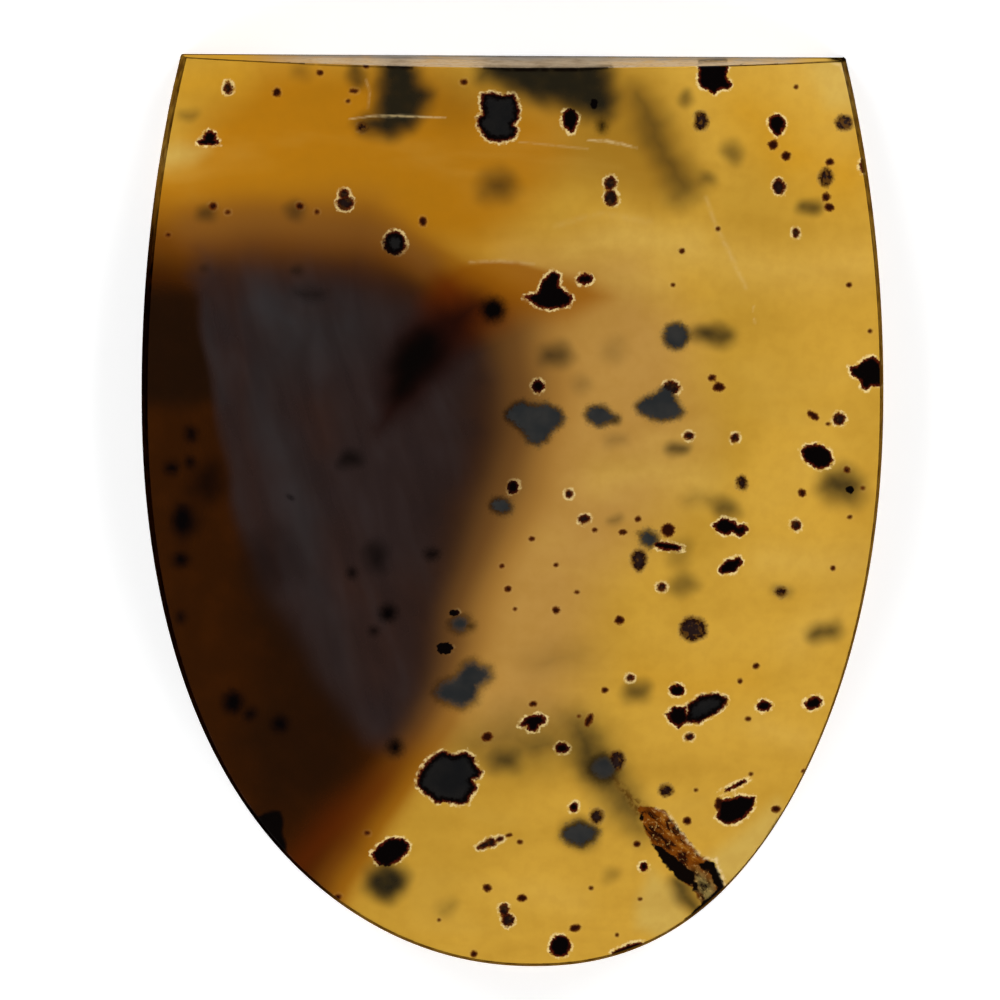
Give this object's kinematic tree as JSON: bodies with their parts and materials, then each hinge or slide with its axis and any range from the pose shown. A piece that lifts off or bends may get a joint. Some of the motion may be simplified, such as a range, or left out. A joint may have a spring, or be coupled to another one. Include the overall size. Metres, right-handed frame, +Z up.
{
  "type": "montana agate cabochon",
  "caption": "Polished moss agate cabochon with a low dome, a flat back, a round tip and a straight saw-cut edge, honey-coloured with black mineral dots and a dark smoky side.",
  "frame": {"origin": "on the flat back, under the middle of the stone's outline", "axes": "+Y towards the straight saw-cut edge, -Y towards the round tip, +Z up from the back through the dome, +X to the right as seen from above the dome with the cut edge at the top"},
  "size_m": [0.0296, 0.0365, 0.005],
  "materials": {
    "stone": "polished"
  },
  "bodies": {
    "root": {"stone": "stone"}
  },
  "joints": []
}
